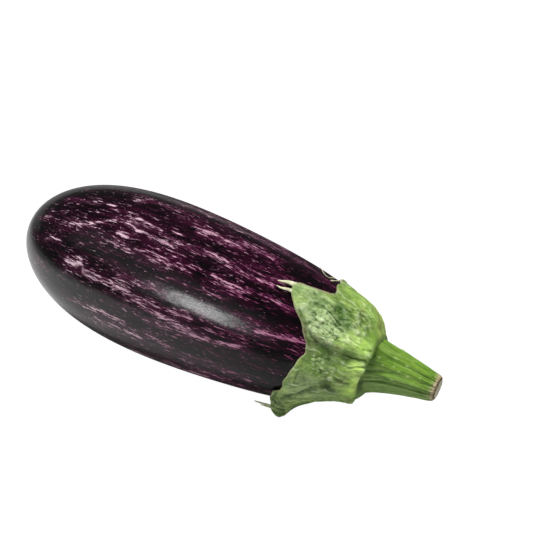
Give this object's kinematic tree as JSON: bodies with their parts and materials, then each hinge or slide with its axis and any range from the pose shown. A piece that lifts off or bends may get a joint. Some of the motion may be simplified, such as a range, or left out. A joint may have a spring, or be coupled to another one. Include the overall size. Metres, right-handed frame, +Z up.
{
  "type": "eggplant",
  "caption": "Whole striped eggplant lying on its side: long oval glossy fruit, pointed green calyx cap and a ribbed cut stem.",
  "frame": {"origin": "middle of the part's outline seen from above, on the surface it rests on", "axes": "+X along the fruit towards the cut stem, +Z up as it lies, +Y to the left of someone looking along +X"},
  "size_m": [0.2178, 0.0754, 0.0774],
  "materials": {
    "skin": "thin waxy natural gloss over near-black purple skin with fine broken lengthwise dashes in magenta and pale lilac",
    "calyx": "thick leathery green sepals, finely wrinkled, satin, paler at the edges",
    "stem": "fleshy ribbed green stalk, satin, cut end cream with a brown rim"
  },
  "bodies": {
    "root": {"fruit": "skin", "calyx": "calyx", "stem": "stem"}
  },
  "joints": []
}
